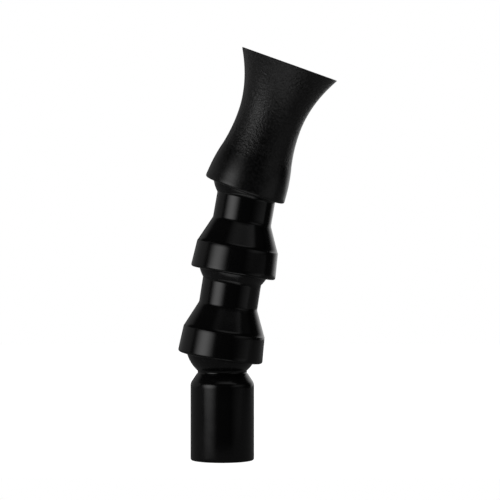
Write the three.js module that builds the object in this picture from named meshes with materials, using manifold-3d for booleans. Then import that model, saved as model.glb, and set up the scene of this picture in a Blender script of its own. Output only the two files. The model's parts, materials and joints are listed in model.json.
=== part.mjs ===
// A grunt tube call: a mouth barrel with a reed cartridge inside, two ball-and-socket links and a trumpet bell.
// Millimetres, +Z up. The origin is the centre of the mouth end, the barrel's axis is Z, and the tube bends to +X.
import * as THREE from "three";
import { mergeVertices } from "three/addons/utils/BufferGeometryUtils.js";
import Module from "manifold-3d";

const wasm = await Module();
wasm.setup();

// Fits
const GAP = 0.3; // between pieces that touch or run on each other
const ROUND = 40; // flats round a turned piece
const EDGE = 0.45; // broken edges of the mouldings
const SKIRT_EDGE = 1; // the skirts' lower rims are rounder

// Ball joint, the same at all three places
const BALL_R = 14.5;
const SOCKET_R = BALL_R + GAP;
const PITCH = 33.6; // from a link's socket centre to its ball centre

// Barrel
const BARREL_R = 12.5;
const BARREL_BORE_R = 10.3;
const BARREL_TOP = 30.3; // where the cylinder turns into the shoulder
const SHOULDER_TOP = 34;
const SHOULDER_TOP_R = 9.95; // the shoulder ends in a small ledge round the neck
const LEDGE_RISE = 0.2;
const BARREL_BALL_Z = 45.95;
const NECK_R = 9.6;
const NECK_BORE_R = 7.8;
const CHAMBER_TOP = 27.9; // the chamber's roof slopes in from here to the neck bore
const CHAMBER_NECK = 32;

// Link, from its socket centre
const LINK_LIP = 5.7; // the skirt reaches this far past the ball's equator
const SKIRT_R = 16.85;
const BAND_R = 16.1;
const BAND_TOP = 4.9;
const BAND_LEDGE = 0.12; // the cone starts this far inside the band
const CONE_TOP = 14.9;
const LINK_NECK_R = 11.55;
const LINK_BORE_R = 9.2;

// Bell, from its socket centre
const BELL_LIP = 6.5;
const BELL_SKIRT_R = 16.45;
const BELL_BAND_R = 15.66;
const BELL_BAND_TOP = 3;
const WAIST_R = 12.76;
const WAIST_Z = 21.7;
const BELLY_RISE = 0.0083; // growth of the radius per square of the distance below the waist
const FLARE_RISE = 0.0119; // and above it
const BELL_LENGTH = 46;
const BELL_WALL = 2;
const BELL_EDGE_WALL = 1;
const THROAT_R = 9.4;

// How the sections stand: tilt to +X and lean to -Y, in degrees from upright
const LOWER_LINK_SET = { tilt: 8.9, lean: 1.5 };
const UPPER_LINK_SET = { tilt: 9.9, lean: 1 };
const BELL_SET = { tilt: 19.7, lean: 5.3 };

// Reed cartridge
const PLUG_R = BARREL_BORE_R - GAP;
const PLUG_LENGTH = 9;
const REAR_PLUG_R = NECK_BORE_R - GAP;
const REAR_PLUG = [33, 47];
const FRONT_GROOVE = { floor: 8.3, from: 3.4, to: 5.6 };
const REAR_GROOVE = { floor: 5.9, from: 41.5, to: 43.6 };
const BOARD_R = 5.8;
const TABLE_Y = -1.2; // the flat that the reed lies on faces -Y
const FACING_START = 30; // from here to the tip the table curves away from the reed
const FACING_TIP_Y = -0.2;
const TROUGH = { width: 5.5, floor: 3.2, from: 13.5 };
const INLET_R = 7.5;
const INLET_Y = -1.8;
const POCKET = { width: 9.2, depth: -5, end: 39.4 }; // in the rear plug, for the reed's root

// Reed, wedge and tuning ring
const REED = { width: 8.2, thick: 0.25, tip: 12.5, root: 39, corner: 1.6 };
const REED_Y = TABLE_Y - GAP; // the face towards the table
const WEDGE = { width: 8.4, from: REAR_PLUG[0] + GAP };
const RING = { z: 27, thick: 1.8, section: 1.7, clearance: 0.35 };

const UP = new THREE.Vector3(0, 0, 1);

// Shapes

// A turned piece: its outline is [radius, z] pairs or arcs of them, and closes on itself or on the axis.
function turned(outline) {
  const points = outline.flat().map(([r, z]) => new THREE.Vector2(r, z));
  return new THREE.LatheGeometry(points, ROUND).rotateX(Math.PI / 2);
}

// Points [radius, z] on a circle round [0, z], from one height above its centre to another.
function arc(radius, z, fromHeight, toHeight, steps) {
  const start = Math.asin(fromHeight / radius);
  const turn = Math.asin(toHeight / radius) - start;
  return Array.from({ length: steps + 1 }, (_, i) => {
    const angle = start + (turn * i) / steps;
    return [radius * Math.cos(angle), z + radius * Math.sin(angle)];
  });
}

// The quarter round on a lower rim, from its underside out to its side.
function lowerRim(radius, z, round) {
  return arc(round, z + round, -round, 0, 3).map(([r, height]) => [radius - round + r, height]);
}

// How far along the axis a sphere's centre is from where the sphere has this radius.
function reach(sphere, radius) {
  return Math.sqrt(sphere * sphere - radius * radius);
}

function box(width, [y0, y1], [z0, z1]) {
  const shape = new THREE.BoxGeometry(width, y1 - y0, z1 - z0);
  return shape.translate(0, (y0 + y1) / 2, (z0 + z1) / 2);
}

function solid(geometry) {
  const bare = geometry.clone();
  bare.deleteAttribute("normal");
  bare.deleteAttribute("uv");
  const merged = mergeVertices(bare, 1e-4);
  return new wasm.Manifold(
    new wasm.Mesh({
      numProp: 3,
      vertProperties: merged.attributes.position.array,
      triVerts: merged.index.array,
    }),
  );
}

// The first geometry with all the others cut out of it.
function cut(body, ...tools) {
  const mesh = tools.reduce((left, tool) => left.subtract(solid(tool)), solid(body)).getMesh();
  const geometry = new THREE.BufferGeometry();
  geometry.setAttribute("position", new THREE.BufferAttribute(mesh.vertProperties, 3));
  geometry.setIndex(new THREE.BufferAttribute(mesh.triVerts, 1));
  geometry.computeVertexNormals();
  return geometry;
}

// A circle cut by a chord at this height; the piece above the chord, or the one below it.
function segment(radius, chordY, above) {
  const right = Math.asin(chordY / radius);
  const shape = new THREE.Shape();
  shape.absarc(0, 0, radius, right, Math.PI - right, !above);
  return shape.closePath();
}

function upright(shape, [z0, z1]) {
  const settings = { depth: z1 - z0, bevelEnabled: false, curveSegments: 20 };
  return new THREE.ExtrudeGeometry(shape, settings).translate(0, 0, z0);
}

// Pieces

function mouthBarrel() {
  const ballTop = reach(BALL_R, NECK_BORE_R);
  return turned([
    [[BARREL_BORE_R, 0], [BARREL_R - EDGE, 0], [BARREL_R, EDGE]],
    [[BARREL_R, BARREL_TOP], [SHOULDER_TOP_R, SHOULDER_TOP], [NECK_R, SHOULDER_TOP + LEDGE_RISE]],
    arc(BALL_R, BARREL_BALL_Z, -reach(BALL_R, NECK_R), ballTop, 16),
    [[NECK_BORE_R, CHAMBER_NECK], [BARREL_BORE_R, CHAMBER_TOP]],
    [[BARREL_BORE_R, 0]],
  ]);
}

function link() {
  const lipR = reach(SOCKET_R, LINK_LIP);
  return turned([
    [[lipR, -LINK_LIP]],
    lowerRim(SKIRT_R, -LINK_LIP, SKIRT_EDGE),
    [[BAND_R, BAND_TOP], [BAND_R - BAND_LEDGE, BAND_TOP + BAND_LEDGE / 2]],
    [[LINK_NECK_R, CONE_TOP]],
    arc(BALL_R, PITCH, -reach(BALL_R, LINK_NECK_R), reach(BALL_R, LINK_BORE_R), 14),
    arc(SOCKET_R, 0, reach(SOCKET_R, LINK_BORE_R), -LINK_LIP, 11),
  ]);
}

// The bell's outside radius above its skirt: one parabola below the waist and a steeper one above it.
function bellRadius(z) {
  const rise = z > WAIST_Z ? FLARE_RISE : BELLY_RISE;
  return WAIST_R + rise * (z - WAIST_Z) ** 2;
}

function bell() {
  const steps = 18;
  const heights = Array.from({ length: steps + 1 }, (_, i) =>
    THREE.MathUtils.lerp(BELL_BAND_TOP, BELL_LENGTH, i / steps),
  );
  const outside = heights.slice(1).map((z) => [bellRadius(z), z]);
  const throatZ = reach(SOCKET_R, THROAT_R);
  const inside = heights
    .filter((z) => z > WAIST_Z)
    .map((z) => {
      const share = (z - WAIST_Z) / (BELL_LENGTH - WAIST_Z);
      return [bellRadius(z) - THREE.MathUtils.lerp(BELL_WALL, BELL_EDGE_WALL, share), z];
    })
    .reverse();
  return turned([
    [[reach(SOCKET_R, BELL_LIP), -BELL_LIP]],
    lowerRim(BELL_SKIRT_R, -BELL_LIP, SKIRT_EDGE),
    [[BELL_BAND_R, BELL_BAND_TOP]],
    outside,
    inside,
    arc(SOCKET_R, 0, throatZ, -BELL_LIP, 11),
  ]);
}

// One turned body: mouth plug, tone board and rear plug, with its table, trough, inlet and reed pocket cut.
function reedHolder() {
  const [rearStart, rearEnd] = REAR_PLUG;
  const body = turned([
    [[0, 0], [PLUG_R, 0]],
    [[PLUG_R, FRONT_GROOVE.from], [FRONT_GROOVE.floor, FRONT_GROOVE.from]],
    [[FRONT_GROOVE.floor, FRONT_GROOVE.to], [PLUG_R, FRONT_GROOVE.to]],
    [[PLUG_R, PLUG_LENGTH], [BOARD_R, PLUG_LENGTH]],
    [[BOARD_R, rearStart], [REAR_PLUG_R, rearStart]],
    [[REAR_PLUG_R, REAR_GROOVE.from], [REAR_GROOVE.floor, REAR_GROOVE.from]],
    [[REAR_GROOVE.floor, REAR_GROOVE.to], [REAR_PLUG_R, REAR_GROOVE.to]],
    [[REAR_PLUG_R, rearEnd], [0, rearEnd]],
  ]);
  const overTable = new THREE.Shape();
  overTable.moveTo(PLUG_R, PLUG_LENGTH);
  overTable.lineTo(PLUG_R, rearStart);
  overTable.lineTo(-TABLE_Y, rearStart);
  overTable.lineTo(-TABLE_Y, FACING_START);
  overTable.quadraticCurveTo(-TABLE_Y, (FACING_START + PLUG_LENGTH) / 2, -FACING_TIP_Y, PLUG_LENGTH);
  // The outline is (-y, z); a turn about Z then about X stands it across the board.
  const table = new THREE.ExtrudeGeometry(overTable, { depth: 2 * PLUG_R, bevelEnabled: false });
  table.translate(0, 0, -PLUG_R).rotateX(Math.PI / 2).rotateZ(-Math.PI / 2);
  const inlet = upright(segment(INLET_R, INLET_Y, false), [-1, PLUG_LENGTH + 1]);
  const trough = box(TROUGH.width, [TABLE_Y, TROUGH.floor], [TROUGH.from, rearEnd + 1]);
  const mouthOfTrough = box(TROUGH.width, [TABLE_Y - 1, TROUGH.floor], [TROUGH.from, POCKET.end]);
  const pocket = box(POCKET.width, [POCKET.depth, TABLE_Y], [rearStart - 1, POCKET.end]);
  return cut(body, table, inlet, trough, mouthOfTrough, pocket);
}

function reed() {
  const half = REED.width / 2;
  const outline = new THREE.Shape();
  outline.moveTo(half, REED.root);
  outline.lineTo(-half, REED.root);
  outline.lineTo(-half, REED.tip + REED.corner);
  outline.quadraticCurveTo(-half, REED.tip, -half + REED.corner, REED.tip);
  outline.lineTo(half - REED.corner, REED.tip);
  outline.quadraticCurveTo(half, REED.tip, half, REED.tip + REED.corner);
  const blade = new THREE.ExtrudeGeometry(outline, { depth: REED.thick, bevelEnabled: false, curveSegments: 4 });
  return blade.rotateX(Math.PI / 2).translate(0, REED_Y, 0);
}

function reedWedge() {
  return box(WEDGE.width, [POCKET.depth + GAP, REED_Y - REED.thick - GAP], [WEDGE.from, REED.root]);
}

// An O-ring in the middle of its groove, clear of the groove's floor and of the bore.
function sealRing(groove, boreR) {
  const section = (boreR - groove.floor) / 2 - GAP;
  const ring = new THREE.TorusGeometry((boreR + groove.floor) / 2, section, 10, ROUND);
  return ring.translate(0, 0, (groove.from + groove.to) / 2);
}

// A rubber band stretched round the tone board, so it is D-shaped, with room for the reed under its flat.
function tuningRing() {
  const innerR = BOARD_R + GAP;
  const innerY = REED_Y - REED.thick - RING.clearance;
  const outline = segment(innerR + RING.section, innerY - RING.section, true);
  outline.holes.push(segment(innerR, innerY, true));
  return upright(outline, [RING.z, RING.z + RING.thick]);
}

// Materials
function plastic(color, roughness) {
  return new THREE.MeshStandardMaterial({ color, roughness, metalness: 0 });
}
const satinBlack = plastic(0x0b0b0d, 0.35);
const texturedBlack = plastic(0x101012, 0.65);
const smokePlastic = plastic(0x2b2a28, 0.45);
const reedFilm = plastic(0xd9d2bd, 0.3);
const corkRubber = plastic(0x6b5038, 0.85);
const sealRubber = plastic(0x0a0a0a, 0.7);

// Assembly: each section's group stands on its ball joint, inside the group of the section below.
function jointed(parent, height, { tilt, lean }) {
  const [across, back] = [tilt, lean].map(THREE.MathUtils.degToRad);
  const axis = new THREE.Vector3(
    Math.sin(across) * Math.cos(back),
    -Math.sin(back),
    Math.cos(across) * Math.cos(back),
  );
  const turnOfParent = parent.getWorldQuaternion(new THREE.Quaternion());
  const section = new THREE.Group();
  section.position.set(0, 0, height);
  section.quaternion.setFromUnitVectors(UP, axis.applyQuaternion(turnOfParent.invert()));
  parent.add(section);
  return section;
}

function piece(parent, name, geometry, material) {
  const mesh = new THREE.Mesh(geometry, material);
  mesh.name = name;
  parent.add(mesh);
}

const call = new THREE.Group();
piece(call, "mouth_barrel", mouthBarrel(), satinBlack);
piece(call, "reed_holder", reedHolder(), smokePlastic);
piece(call, "reed", reed(), reedFilm);
piece(call, "reed_wedge", reedWedge(), corkRubber);
piece(call, "front_seal_ring", sealRing(FRONT_GROOVE, BARREL_BORE_R), sealRubber);
piece(call, "rear_seal_ring", sealRing(REAR_GROOVE, NECK_BORE_R), sealRubber);
piece(call, "tuning_ring", tuningRing(), sealRubber);

const lowerJoint = jointed(call, BARREL_BALL_Z, LOWER_LINK_SET);
piece(lowerJoint, "lower_link", link(), satinBlack);
const upperJoint = jointed(lowerJoint, PITCH, UPPER_LINK_SET);
piece(upperJoint, "upper_link", link(), satinBlack);
const bellJoint = jointed(upperJoint, PITCH, BELL_SET);
piece(bellJoint, "bell", bell(), texturedBlack);

export default call;
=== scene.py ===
# A grunt tube call: mouth barrel, reed cartridge, two ball-and-socket links and a trumpet bell. Metres, +Z up.
import json
import math

import bmesh
import bpy
from mathutils import Matrix, Vector


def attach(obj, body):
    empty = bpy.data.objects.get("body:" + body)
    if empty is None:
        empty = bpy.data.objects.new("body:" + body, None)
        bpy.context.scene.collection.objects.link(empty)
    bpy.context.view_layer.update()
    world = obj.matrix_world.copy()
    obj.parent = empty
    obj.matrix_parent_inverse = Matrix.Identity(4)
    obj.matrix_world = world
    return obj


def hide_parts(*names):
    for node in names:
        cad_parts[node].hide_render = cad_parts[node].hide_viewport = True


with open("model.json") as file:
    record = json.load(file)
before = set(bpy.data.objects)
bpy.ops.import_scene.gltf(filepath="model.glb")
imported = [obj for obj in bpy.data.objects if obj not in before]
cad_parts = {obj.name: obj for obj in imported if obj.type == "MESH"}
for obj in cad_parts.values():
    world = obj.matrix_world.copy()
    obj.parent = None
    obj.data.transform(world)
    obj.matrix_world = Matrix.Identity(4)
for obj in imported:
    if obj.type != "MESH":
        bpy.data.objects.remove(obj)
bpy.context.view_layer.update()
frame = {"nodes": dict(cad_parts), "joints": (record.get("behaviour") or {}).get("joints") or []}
MM = 0.001


# The view: a long lens, level, a little above the middle of the call.
# It stands so far back that the call shows with almost no perspective.
LENS_MM = 144
CAMERA_PLACE = Vector((10.9, -787, 82.6)) * MM

lens = bpy.data.cameras.new("view")
lens.lens = LENS_MM
lens.clip_start = 0.01
camera = bpy.data.objects.new("view", lens)
camera.location = CAMERA_PLACE
camera.rotation_euler = (math.radians(90), 0, 0)
bpy.context.scene.collection.objects.link(camera)
bpy.context.scene.camera = camera


# Mouth barrel: one moulding in satin black plastic. The plain cylinder holds the reed cartridge; a shoulder with a
# small ledge, a short neck and a hollow ball above it carry the first link. The outline is turned about the axis.
ROUND = 144
BARREL_R = 12.5
BARREL_BORE_R = 10.3
BARREL_TOP = 30.3
SHOULDER_TOP = (10.05, 34.0)
NECK_R = 9.7
NECK_BORE_R = 7.8
CHAMBER_ROOF = (27.9, 32.0)
BALL_R = 14.5
NEAR = 1e-5


def arc(radius, middle, low, high, steps=32):
    """Points on a circle round (0, middle), from one height above its centre to another."""
    start = math.asin(low / radius)
    turn = math.asin(high / radius) - start
    angles = [start + turn * step / steps for step in range(steps + 1)]
    return [(radius * math.cos(angle), middle + radius * math.sin(angle)) for angle in angles]


def reach(sphere, radius):
    """How far along the axis a sphere's centre is from where the sphere has this radius."""
    return math.sqrt(sphere**2 - radius**2)


def turned(outline, closed=True):
    """A solid turned about Z from an outline of (radius, height) points in millimetres."""
    bm = bmesh.new()
    points = [bm.verts.new((radius * MM, 0, height * MM)) for radius, height in outline]
    lines = [bm.edges.new(pair) for pair in zip(points, points[1:])]
    if closed:
        lines.append(bm.edges.new((points[-1], points[0])))
    spun = {"axis": (0, 0, 1), "angle": math.tau, "steps": ROUND, "use_merge": True}
    bmesh.ops.spin(bm, geom=points + lines, cent=(0, 0, 0), **spun)
    bmesh.ops.remove_doubles(bm, verts=bm.verts, dist=NEAR / 10)
    bmesh.ops.recalc_face_normals(bm, faces=bm.faces)
    return bm


def round_edge(bm, radius, height, size, segments=4):
    """Rounds the turned edge that runs round the solid at this radius and height."""
    def on_edge(vert):
        off_radius = abs(vert.co.xy.length - radius * MM)
        return off_radius < NEAR and abs(vert.co.z - height * MM) < NEAR

    ring = [edge for edge in bm.edges if all(on_edge(vert) for vert in edge.verts)]
    shape = {"affect": "EDGES", "segments": segments, "profile": 0.5, "material": -1, "clamp_overlap": True}
    bmesh.ops.bevel(bm, geom=ring, offset=size * MM, **shape)


def even_out(bm, longest=1.6):
    """Splits long faces, so that smooth shading stays close to each edge."""
    while long := [edge for edge in bm.edges if edge.calc_length() > longest * MM]:
        bmesh.ops.subdivide_edges(bm, edges=long, cuts=1, use_grid_fill=True)


class Wire:
    """A shader socket that can be reckoned with: each operator adds a Math node to the finish it belongs to."""

    def __init__(self, finish, socket):
        self.finish = finish
        self.socket = socket

    def sum(self, operation, *values):
        return self.finish.node("ShaderNodeMath", {"operation": operation}, dict(enumerate(values)))

    def root(self):
        return self.sum("SQRT", self)

    def __add__(self, other):
        return self.sum("ADD", self, other)

    def __sub__(self, other):
        return self.sum("SUBTRACT", self, other)

    def __rsub__(self, other):
        return self.sum("SUBTRACT", other, self)

    def __mul__(self, other):
        return self.sum("MULTIPLY", self, other)

    def __abs__(self):
        return self.sum("ABSOLUTE", self)

    __radd__ = __add__
    __rmul__ = __mul__

    def ramp(self, low, high):
        """0 at low, 1 at high, and an even S between them."""
        settings = {"interpolation_type": "SMOOTHSTEP"}
        ends = {"Value": self, "From Min": low, "From Max": high}
        return self.finish.node("ShaderNodeMapRange", settings, ends)


class Finish:
    """One material. node() adds any node, its settings first, and gives back one of its outputs."""

    def __init__(self, name):
        self.material = bpy.data.materials.new(name)
        self.material.use_nodes = True
        self.tree = self.material.node_tree
        self.shader = self.tree.nodes["Principled BSDF"]

    def node(self, kind, settings, inputs, output=0):
        made = self.tree.nodes.new(kind)
        for name, value in settings.items():
            setattr(made, name, value)
        for key, value in inputs.items():
            self.join(value, made.inputs[key])
        return Wire(self, made.outputs[output])

    def join(self, value, socket):
        if isinstance(value, Wire):
            self.tree.links.new(value.socket, socket)
        else:
            socket.default_value = value

    def shade(self, **inputs):
        for name, value in inputs.items():
            self.join(value, self.shader.inputs[name.replace("_", " ")])

    def place(self, stand=Matrix.Identity(4)):
        """Object coordinates, seen from a piece that stands at this matrix."""
        back = stand.inverted()
        turn = {"Vector": self.node("ShaderNodeTexCoord", {}, {}, "Object")}
        turn["Location"] = back.translation
        turn["Rotation"] = back.to_euler()
        return self.node("ShaderNodeMapping", {}, turn)

    def split(self, vector):
        return [self.node("ShaderNodeSeparateXYZ", {}, {0: vector}, axis) for axis in "XYZ"]

    def noise(self, vector, size, detail=2, roughness=0.5):
        """Noise with features of about this size in metres."""
        inputs = {"Vector": vector, "Scale": 1 / size, "Detail": detail, "Roughness": roughness}
        return self.node("ShaderNodeTexNoise", {}, inputs)

    def tone(self, level):
        """A grey whose brightness varies."""
        return self.node("ShaderNodeCombineColor", {}, {0: level, 1: level, 2: level})

    def mix(self, share, first, second):
        inputs = {0: share, 6: first, 7: second}
        return self.node("ShaderNodeMix", {"data_type": "RGBA"}, inputs, 2)

    def bump(self, height, depth, under=None):
        """A bump of this depth in metres, on top of another bump or of the plain surface."""
        inputs = {"Height": height, "Distance": depth}
        if under:
            inputs["Normal"] = under
        return self.node("ShaderNodeBump", {}, inputs)


def grey(level):
    return (level, level, level * 1.05, 1)


def piece(bm, name, finish, stand=Matrix.Identity(4)):
    """The finished object, at its place in the call."""
    bmesh.ops.transform(bm, matrix=stand, verts=bm.verts)
    for face in bm.faces:
        face.smooth = True
    mesh = bpy.data.meshes.new(name)
    bm.to_mesh(mesh)
    bm.free()
    mesh.materials.append(finish.material)
    made = bpy.data.objects.new(name, mesh)
    bpy.context.scene.collection.objects.link(made)
    return made


joint_places = {joint["name"]: Vector(joint["pos_m"]) for joint in frame["joints"] if "pos_m" in joint}
barrel_ball = joint_places["lower_bend"].z / MM

barrel = turned([
    (BARREL_BORE_R, 0), (BARREL_R, 0), (BARREL_R, BARREL_TOP), SHOULDER_TOP, (NECK_R, SHOULDER_TOP[1] + 0.2),
    *arc(BALL_R, barrel_ball, -reach(BALL_R, NECK_R), reach(BALL_R, NECK_BORE_R)),
    (NECK_BORE_R, CHAMBER_ROOF[1]), (BARREL_BORE_R, CHAMBER_ROOF[0]),
])
round_edge(barrel, BARREL_R, 0, 0.7)
round_edge(barrel, BARREL_BORE_R, 0, 0.3)
round_edge(barrel, BARREL_R, BARREL_TOP, 0.8)
round_edge(barrel, *SHOULDER_TOP, 0.14, 3)
round_edge(barrel, NECK_BORE_R, barrel_ball + reach(BALL_R, NECK_BORE_R), 0.4)
even_out(barrel)


def satin_black(name, stand):
    """Smooth moulded black: flow ripple, handling marks in the gloss, rub marks where a socket turns on a ball."""
    finish = Finish(name)
    here = finish.place(stand)
    smudge = finish.noise(here, 0.014, 3).ramp(0.45, 0.7)
    fine = finish.noise(here, 0.0011, 4, 0.6)
    from_ball = finish.node("ShaderNodeVectorMath", {"operation": "LENGTH"}, {0: here}, "Value")
    ball_skin = 1 - abs(from_ball - BALL_R * MM).ramp(0.0001, 0.0003)
    rubbed = ball_skin * finish.noise(here, 0.0025, 5, 0.7).ramp(0.5, 0.66)
    finish.shade(
        Base_Color=finish.mix(rubbed * 0.6 + smudge * 0.2, grey(0.004), grey(0.014)),
        Roughness=0.15 + smudge * 0.05 + fine * 0.04 + rubbed * 0.12,
        Normal=finish.bump(finish.noise(here, 0.004), 0.000012, finish.bump(fine, 0.000003)),
        Specular_IOR_Level=0.42,
    )
    return finish


ball_stand = Matrix.Translation(joint_places["lower_bend"])
barrel_moulding = piece(barrel, "barrel_moulding", satin_black("barrel satin black", ball_stand))
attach(barrel_moulding, "barrel")
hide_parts("mouth_barrel")


# Reed holder: the cartridge's body, one dark smoke moulding that pushes into the barrel from the mouth end.
# The mouth plug and the rear plug carry rubber rings; the tone board between them has the flat the reed lies on,
# a trough for the air under it, and a pocket for its root. The plug's D-shaped inlet lets the breath in.
PLUG_R = 10
PLUG_LENGTH = 9
FRONT_GROOVE = (8.3, 3.4, 5.6)
BOARD_R = 5.8
REAR_PLUG_R = 7.5
REAR_PLUG = (33, 47)
REAR_GROOVE = (5.9, 41.5, 43.6)
TABLE_Y = -1.2
FACING = ((TABLE_Y, 30), (TABLE_Y, 19.5), (-0.2, PLUG_LENGTH))
FACING_STEPS = 12
INLET_R = 7.5
INLET_Y = -1.8
TROUGH_FLOOR = 3.2
HALF_TROUGH = 2.75
TROUGH_START = 13.5
HALF_POCKET = 4.6
POCKET_Y = -5
POCKET_END = 39.4
PAST = 1
HOLDER_EDGE = 0.1
SLIVER = 0.05


def block(low, high):
    """A box from one corner to the other, in millimetres."""
    bm = bmesh.new()
    low, high = Vector(low) * MM, Vector(high) * MM
    spread = Matrix.Translation((low + high) / 2) @ Matrix.Diagonal((*(high - low), 1))
    bmesh.ops.create_cube(bm, size=1, matrix=spread)
    return bm


def drawn_out(bm, way):
    """Makes the flat shape a solid by drawing its faces out along a vector in millimetres."""
    drawn = bmesh.ops.extrude_face_region(bm, geom=bm.faces[:], use_keep_orig=True)["geom"]
    moved = [part for part in drawn if isinstance(part, bmesh.types.BMVert)]
    bmesh.ops.translate(bm, vec=Vector(way) * MM, verts=moved)
    bmesh.ops.recalc_face_normals(bm, faces=bm.faces)
    if bm.calc_volume(signed=True) < 0:
        bmesh.ops.reverse_faces(bm, faces=bm.faces)
    return bm


def round_plate(radius, chord, height, above):
    """A flat disc cut off by a chord at this Y, with the part above it or below it kept."""
    bm = bmesh.new()
    bmesh.ops.create_circle(bm, cap_ends=True, segments=ROUND, radius=radius * MM)
    cutting = {"plane_co": (0, chord * MM, 0), "plane_no": (0, 1, 0), "clear_inner": above, "clear_outer": not above}
    bmesh.ops.bisect_plane(bm, geom=bm.verts[:] + bm.edges[:] + bm.faces[:], dist=NEAR / 10, **cutting)
    bmesh.ops.translate(bm, vec=(0, 0, height * MM), verts=bm.verts)
    return bm


def loose(bm):
    """The mesh as an object of its own, before it has a name or a finish."""
    mesh = bpy.data.meshes.new("loose")
    bm.to_mesh(mesh)
    bm.free()
    made = bpy.data.objects.new("loose", mesh)
    bpy.context.scene.collection.objects.link(made)
    return made


def cut_out(body, *tools):
    """The body with the tools taken out of it, one after another."""
    for tool in tools:
        worked, cutter = loose(body), loose(tool)
        take = worked.modifiers.new("take", "BOOLEAN")
        take.object = cutter
        take.operation = "DIFFERENCE"
        take.solver = "EXACT"
        bpy.context.view_layer.update()
        result = worked.evaluated_get(bpy.context.evaluated_depsgraph_get())
        body = bmesh.new()
        body.from_mesh(result.to_mesh())
        result.to_mesh_clear()
        for spent in (worked, cutter):
            bpy.data.meshes.remove(spent.data)
        bmesh.ops.remove_doubles(body, verts=body.verts, dist=NEAR / 10)
    return body


def ease_edges(bm, size, sharpest=35, segments=2):
    """Rounds every edge that turns by more than this many degrees."""
    sharp = [edge for edge in bm.edges if edge.is_manifold and edge.calc_face_angle() > math.radians(sharpest)]
    shape = {"affect": "EDGES", "segments": segments, "profile": 0.5, "material": -1}
    bmesh.ops.bevel(bm, geom=sharp, offset=size * MM, **shape)


def keep_crisp(made):
    """Smooth shading stops at every edge that turns by more than 40 degrees."""
    made.data.set_sharp_from_angle(angle=math.radians(40))


body = turned([
    (0, 0), (PLUG_R, 0), (PLUG_R, FRONT_GROOVE[1]), FRONT_GROOVE[:2], (FRONT_GROOVE[0], FRONT_GROOVE[2]),
    (PLUG_R, FRONT_GROOVE[2]), (PLUG_R, PLUG_LENGTH), (BOARD_R, PLUG_LENGTH), (BOARD_R, REAR_PLUG[0]),
    (REAR_PLUG_R, REAR_PLUG[0]), (REAR_PLUG_R, REAR_GROOVE[1]), REAR_GROOVE[:2], (REAR_GROOVE[0], REAR_GROOVE[2]),
    (REAR_PLUG_R, REAR_GROOVE[2]), (REAR_PLUG_R, REAR_PLUG[1]), (0, REAR_PLUG[1]),
], closed=False)
round_edge(body, PLUG_R, 0, 0.4)
round_edge(body, REAR_PLUG_R, REAR_PLUG[1], 0.8)
over_table = bmesh.new()
curve = []
for step in range(FACING_STEPS + 1):
    share = step / FACING_STEPS
    weights = ((1 - share) ** 2, 2 * share * (1 - share), share**2)
    curve.append([sum(w * value for w, value in zip(weights, line)) for line in zip(*FACING)])
far_y = -PLUG_R - PAST
side = [(far_y, PLUG_LENGTH), (far_y, REAR_PLUG[0]), (TABLE_Y, REAR_PLUG[0]), *curve]
corners = [over_table.verts.new((-(PLUG_R + PAST) * MM, y * MM, z * MM)) for y, z in side]
bmesh.ops.contextual_create(over_table, geom=corners)
holder = cut_out(
    body,
    drawn_out(over_table, (2 * (PLUG_R + PAST), 0, 0)),
    drawn_out(round_plate(INLET_R, INLET_Y, -PAST, above=False), (0, 0, PLUG_LENGTH + 2 * PAST)),
    block((-HALF_TROUGH, TABLE_Y, POCKET_END - PAST), (HALF_TROUGH, TROUGH_FLOOR, REAR_PLUG[1] + PAST)),
    block((-HALF_TROUGH, TABLE_Y - PAST, TROUGH_START), (HALF_TROUGH, TROUGH_FLOOR, POCKET_END)),
    block((-HALF_POCKET, POCKET_Y, REAR_PLUG[0] - PAST), (HALF_POCKET, TABLE_Y, POCKET_END)),
)
bmesh.ops.remove_doubles(holder, verts=holder.verts, dist=SLIVER * MM)
ease_edges(holder, HOLDER_EDGE)

smoke_plastic = Finish("smoke plastic")
smoke_place = smoke_plastic.place()
flow = smoke_plastic.noise(smoke_place, 0.006, 3)
fine_smoke = smoke_plastic.noise(smoke_place, 0.0007, 3, 0.6)
smoke_plastic.shade(
    Base_Color=smoke_plastic.mix(flow, (0.022, 0.020, 0.018, 1), (0.045, 0.041, 0.036, 1)),
    Roughness=0.26 + fine_smoke * 0.12,
    Normal=smoke_plastic.bump(fine_smoke, 0.00001, smoke_plastic.bump(flow, 0.00003)),
)
cartridge = piece(holder, "cartridge_moulding", smoke_plastic)
keep_crisp(cartridge)
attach(cartridge, "cartridge")
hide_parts("reed_holder")


# Reed: a blade cut from polyester film, with round corners at its tip. Its root lies in the holder's pocket,
# and the rest lies along the table, which curves away from it towards the tip.
HALF_REED = 4.1
REED_TIP = 12.5
REED_ROOT = 39
REED_CORNER = 1.6
REED_FACE_Y = -1.5
REED_THICK = 0.25

blade = block((-HALF_REED, REED_FACE_Y - REED_THICK, REED_TIP), (HALF_REED, REED_FACE_Y, REED_ROOT))
tip_corners = [
    edge for edge in blade.edges
    if all(abs(vert.co.z - REED_TIP * MM) < NEAR for vert in edge.verts) and edge.calc_length() < MM
]
corner = {"affect": "EDGES", "segments": 8, "profile": 0.5, "material": -1, "clamp_overlap": True}
bmesh.ops.bevel(blade, geom=tip_corners, offset=REED_CORNER * MM, **corner)
ease_edges(blade, 0.05, 60, 1)

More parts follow.
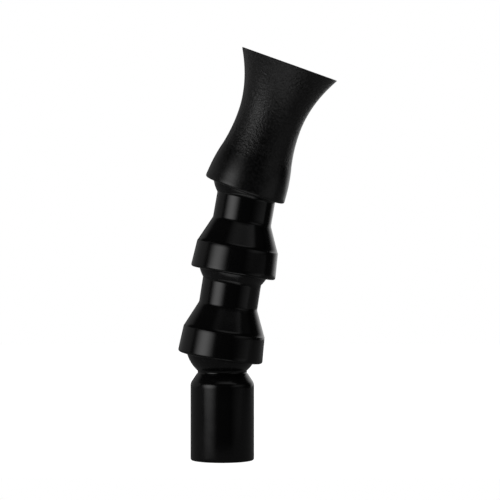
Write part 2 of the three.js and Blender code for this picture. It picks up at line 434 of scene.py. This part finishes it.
reed_film = Finish("polyester film")
film_place = reed_film.place()
streaks = reed_film.node("ShaderNodeMapping", {}, {"Vector": film_place, "Scale": (1, 1, 0.08)})
drawn_lines = reed_film.noise(streaks, 0.0006, 3, 0.6)
breath_marks = reed_film.noise(film_place, 0.005, 3).ramp(0.5, 0.7)
reed_film.shade(
    Base_Color=reed_film.mix(breath_marks * 0.5, (0.72, 0.66, 0.5, 1), (0.62, 0.56, 0.42, 1)),
    Roughness=0.16 + drawn_lines * 0.1 + breath_marks * 0.12,
    Normal=reed_film.bump(drawn_lines, 0.000008),
    Transmission_Weight=0.35,
)
reed_blade = piece(blade, "reed_blade", reed_film)
keep_crisp(reed_blade)
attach(reed_blade, "reed")
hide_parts("reed")


# Wedge: a block of cork and rubber compound, pressed into the pocket on top of the reed's root to clamp it.
HALF_WEDGE = 4.2
WEDGE_Y = (-4.7, -2.05)
WEDGE_Z = (33.3, 39)

wedge = block((-HALF_WEDGE, WEDGE_Y[0], WEDGE_Z[0]), (HALF_WEDGE, WEDGE_Y[1], WEDGE_Z[1]))
ease_edges(wedge, 0.25, segments=3)

cork = Finish("cork compound")
cork_place = cork.place()
crumb_size = {"Vector": cork_place, "Scale": 1 / 0.0008}
crumb = cork.node("ShaderNodeTexVoronoi", {}, crumb_size, "Color")
crumb_tone = cork.split(crumb)[0]
crumb_edge = cork.node("ShaderNodeTexVoronoi", {"feature": "DISTANCE_TO_EDGE"}, crumb_size)
binder = 1 - crumb_edge.ramp(0.02, 0.12)
crumbs = cork.mix(crumb_tone, (0.16, 0.09, 0.045, 1), (0.33, 0.21, 0.11, 1))
cork.shade(
    Base_Color=cork.mix(binder * 0.8, crumbs, (0.03, 0.022, 0.016, 1)),
    Roughness=0.8 + binder * 0.1,
    Normal=cork.bump(crumb_tone * 0.6 - binder * 0.5, 0.00005),
)
wedge_block = piece(wedge, "wedge_block", cork)
keep_crisp(wedge_block)
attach(wedge_block, "cartridge")
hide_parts("reed_wedge")


# Seal rings: two rubber O-rings, one in the groove of each plug, which hold the cartridge in the barrel by friction.
SEAL_CLEAR = 0.3
SEAL_STEPS = 24

rubber = Finish("seal rubber")
rubber_place = rubber.place()
bloom = rubber.noise(rubber_place, 0.003, 4, 0.6).ramp(0.45, 0.75)
rubber.shade(
    Base_Color=rubber.mix(bloom * 0.5, grey(0.008), grey(0.03)),
    Roughness=0.5 + bloom * 0.15,
    Normal=rubber.bump(rubber.noise(rubber_place, 0.0005, 3, 0.6), 0.00001),
)
for ring_name, (floor_r, groove_low, groove_high), bore_r in (
    ("front", FRONT_GROOVE, BARREL_BORE_R),
    ("rear", REAR_GROOVE, NECK_BORE_R),
):
    section_r = (bore_r - floor_r) / 2 - SEAL_CLEAR
    middle_r = (bore_r + floor_r) / 2
    middle_z = (groove_low + groove_high) / 2
    turns = [math.tau * step / SEAL_STEPS for step in range(SEAL_STEPS)]
    ring = turned([(middle_r + section_r * math.cos(turn), middle_z + section_r * math.sin(turn)) for turn in turns])
    seal = piece(ring, ring_name + "_o_ring", rubber)
    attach(seal, "cartridge")
    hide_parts(ring_name + "_seal_ring")


# Tuning ring: a moulded rubber band stretched round the tone board and over the reed, so it sits as a D. Slid along
# the board, it changes how much of the reed is free to sound.
BAND_OUTER_R = 7.8
BAND_CHORD = -3.8
BAND_SECTION = 1.7
BAND_Z = 27
BAND_THICK = 1.8

outer = round_plate(BAND_OUTER_R, BAND_CHORD, BAND_Z, above=True)
inner = round_plate(BAND_OUTER_R - BAND_SECTION, BAND_CHORD + BAND_SECTION, BAND_Z - PAST, above=True)
band = cut_out(drawn_out(outer, (0, 0, BAND_THICK)), drawn_out(inner, (0, 0, BAND_THICK + 2 * PAST)))
ease_edges(band, 0.35, segments=3)
tuning_band = piece(band, "tuning_band", rubber)
keep_crisp(tuning_band)
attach(tuning_band, "tuner")
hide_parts("tuning_ring")


# Links: two mouldings from one tool in the same satin black. Each has a tapered skirt that snaps over the ball below,
# a cone, a neck and its own ball. The skirt's rim is well rounded, and the cone starts just inside the band's edge.
SOCKET_R = 14.8
LINK_LIP = 5.7
SKIRT_R = 16.85
BAND_EDGE = (16.1, 4.9)
CONE_FOOT = (15.98, 4.96)
CONE_TOP = (11.55, 14.9)
LINK_BORE_R = 9.2
PITCH = 33.6


def standing(node, ball):
    """The matrix of a turned piece whose socket is round this ball: its axis runs on through its own middle."""
    points = [vert.co for vert in frame["nodes"][node].data.vertices]
    axis = sum(points, Vector()) / len(points) - ball
    return Matrix.Translation(ball) @ Vector((0, 0, 1)).rotation_difference(axis).to_matrix().to_4x4()


for link_name, joint_name in (("lower_link", "lower_bend"), ("upper_link", "upper_bend")):
    link = turned([
        (reach(SOCKET_R, LINK_LIP), -LINK_LIP), (SKIRT_R, -LINK_LIP), BAND_EDGE, CONE_FOOT, CONE_TOP,
        *arc(BALL_R, PITCH, -reach(BALL_R, CONE_TOP[0]), reach(BALL_R, LINK_BORE_R)),
        *arc(SOCKET_R, 0, reach(SOCKET_R, LINK_BORE_R), -LINK_LIP)[:-1],
    ])
    round_edge(link, SKIRT_R, -LINK_LIP, 1)
    round_edge(link, reach(SOCKET_R, LINK_LIP), -LINK_LIP, 0.35)
    round_edge(link, *BAND_EDGE, 0.06, 2)
    round_edge(link, *CONE_TOP, 0.5)
    round_edge(link, LINK_BORE_R, PITCH + reach(BALL_R, LINK_BORE_R), 0.4)
    even_out(link)
    link_stand = standing(link_name, joint_places[joint_name])
    upper_ball = link_stand @ Matrix.Translation((0, 0, PITCH * MM))
    moulding = piece(link, link_name + "_moulding", satin_black(link_name + " satin black", upper_ball), link_stand)
    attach(moulding, link_name)
    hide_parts(link_name)


# Bell: a round trumpet, moulded in black plastic from a spark-textured tool. Its skirt is a socket like the links',
# its body narrows to a waist and flares to a thin lip. The grain covers the outside; the inside is smoother.
BELL_LIP = 6.5
BELL_SKIRT_R = 16.45
BELL_BAND = (15.66, 3.0)
WAIST = (12.76, 21.7)
BELLY_RISE = 0.0083
FLARE_RISE = 0.0119
BELL_LENGTH = 46
BELL_WALL = 2
LIP_WALL = 1
THROAT_R = 9.4


def bell_radius(height):
    rise = FLARE_RISE if height > WAIST[1] else BELLY_RISE
    return WAIST[0] + rise * (height - WAIST[1]) ** 2


def heights(low, high, steps):
    return [low + (high - low) * step / steps for step in range(steps + 1)]


def wall(height):
    share = (height - WAIST[1]) / (BELL_LENGTH - WAIST[1])
    return BELL_WALL + (LIP_WALL - BELL_WALL) * share


bell = turned([
    (reach(SOCKET_R, BELL_LIP), -BELL_LIP), (BELL_SKIRT_R, -BELL_LIP), BELL_BAND,
    *[(bell_radius(height), height) for height in heights(BELL_BAND[1] + 5, BELL_LENGTH, 44)],
    *[(bell_radius(height) - wall(height), height) for height in heights(BELL_LENGTH, WAIST[1], 28)],
    *arc(SOCKET_R, 0, reach(SOCKET_R, THROAT_R), -BELL_LIP)[:-1],
])
round_edge(bell, BELL_SKIRT_R, -BELL_LIP, 1)
round_edge(bell, reach(SOCKET_R, BELL_LIP), -BELL_LIP, 0.35)
round_edge(bell, *BELL_BAND, 4.5, 8)
round_edge(bell, bell_radius(BELL_LENGTH), BELL_LENGTH, 0.45)
round_edge(bell, bell_radius(BELL_LENGTH) - LIP_WALL, BELL_LENGTH, 0.3)
round_edge(bell, THROAT_R, reach(SOCKET_R, THROAT_R), 0.5)
even_out(bell)
bell_stand = standing("bell", joint_places["bell_bend"])

textured_black = Finish("bell textured black")
bell_place = textured_black.place(bell_stand)
across, along, up = textured_black.split(bell_place)
from_axis = (across * across + along * along).root()
from_waist = up - WAIST[1] * MM
outline_r = WAIST[0] * MM + from_waist * from_waist * (FLARE_RISE / MM)
outside = (outline_r - from_axis).ramp(0.001, 0.0004)
grain = textured_black.noise(bell_place, 0.0009, 3, 0.6)
handled = textured_black.noise(bell_place, 0.012, 3).ramp(0.4, 0.7)
textured_black.shade(
    Base_Color=textured_black.mix(grain.ramp(0.4, 0.66), grey(0.001), grey(0.013)),
    Roughness=0.27 + grain * 0.1 - handled * 0.04,
    Normal=textured_black.bump(grain * outside, 0.0003),
    Specular_IOR_Level=0.5,
)
bell_moulding = piece(bell, "bell_moulding", textured_black, bell_stand)
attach(bell_moulding, "bell")
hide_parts("bell")


# Studio: a pale table that shows pure white, softboxes that only the call's surfaces see, and a dim room round them,
# which black plastic mirrors as black. Azimuth 0 is at the camera, and positive is to its right.
CALL_MIDDLE = Vector((0.012, 0, 0.08))
TABLE_PLACE = (-0.1, 0.44, -0.0001)
TABLE_SIZE = (1.04, 1, 1, 1)
TABLE_GLOW = 0.07
SOFTBOX_AWAY = 1.2


def stage_sheet(name, stand, paint):
    bm = bmesh.new()
    bm.loops.layers.uv.verify()
    bmesh.ops.create_grid(bm, x_segments=1, y_segments=1, size=0.5, calc_uvs=True)
    made = piece(bm, name, paint, stand)
    return made


def softbox(name, azimuth, sides, elevations, brightness, fades):
    """An upright lit cloth: how far it reaches to each side in metres, and from which elevation to which.

    It fades over a share of its width and height: from its left, right, lower and upper edges.
    """
    left, right = sides
    low, high = [math.tan(math.radians(elevation)) * SOFTBOX_AWAY for elevation in elevations]
    stand = Matrix.Translation(CALL_MIDDLE) @ Matrix.Rotation(math.radians(azimuth), 4, "Z")
    stand = stand @ Matrix.Translation(((left + right) / 2, -SOFTBOX_AWAY, (low + high) / 2))
    stand = stand @ Matrix.Rotation(math.radians(90), 4, "X") @ Matrix.Diagonal((right - left, high - low, 1, 1))
    cloth = Finish(name + " cloth")
    u, v = cloth.split(cloth.node("ShaderNodeTexCoord", {}, {}, "UV"))[:2]
    glow = brightness
    for distance, fade in zip((u, 1 - u, v, 1 - v), fades):
        glow = glow * distance.ramp(0, fade)
    cloth.shade(Base_Color=(0, 0, 0, 1), Specular_IOR_Level=0.0)
    cloth.shade(Emission_Color=cloth.tone(glow), Emission_Strength=1.0)
    stage_sheet(name, stand, cloth).visible_camera = False


table_top = Finish("table white")
seen = table_top.node("ShaderNodeLightPath", {}, {}, "Is Camera Ray")
table_top.shade(Base_Color=(0.2, 0.2, 0.2, 1), Roughness=0.9)
table_top.shade(Emission_Color=table_top.tone(seen + TABLE_GLOW), Emission_Strength=1.0)
stage_sheet("table", Matrix.Translation(TABLE_PLACE) @ Matrix.Diagonal(TABLE_SIZE), table_top)
softbox("left softbox", -49, (-0.76, 0.73), (-10, 31), 2.4, (0.48, 0.48, 0.2, 0.55))
softbox("low left softbox", -88, (-0.6, 0.45), (-24, -3), 1.2, (0.4, 0.6, 0.3, 0.45))
softbox("right softbox", 62, (-0.85, 0.75), (-26, -2), 0.34, (0.75, 0.08, 0.1, 0.45))
softbox("upper right softbox", 65, (-1.1, 0.9), (-5, 30), 0.28, (0.5, 0.6, 0.2, 0.5))
softbox("right rear softbox", 155, (-0.85, 0.85), (-10, 35), 0.9, (0.45, 0.45, 0.1, 0.3))
softbox("left rear softbox", -125, (-1.1, 1.1), (-10, 36), 0.2, (0.2, 0.2, 0.1, 0.3))
softbox("top softbox", 0, (-1.2, 3), (44, 68), 0.38, (0.4, 0.3, 0.04, 0.3))
softbox("top rear softbox", 180, (-1.5, 1.5), (55, 78), 0.5, (0.3, 0.3, 0.1, 0.3))
softbox("front reflector", -20, (-2, 2), (-70, -20), 0.9, (0.2, 0.3, 0.6, 0.35))

room = bpy.data.worlds.new("dim room")
room.use_nodes = True
air = room.node_tree
seen_by_camera = air.nodes.new("ShaderNodeLightPath").outputs["Is Camera Ray"]
tone = air.nodes.new("ShaderNodeMapRange")
tone.inputs["To Min"].default_value = 0.015
tone.inputs["To Max"].default_value = 1.0
air.links.new(seen_by_camera, tone.inputs["Value"])
air.links.new(tone.outputs["Result"], air.nodes["Background"].inputs["Color"])
bpy.context.scene.world = room
bpy.context.scene.view_settings.view_transform = "Standard"
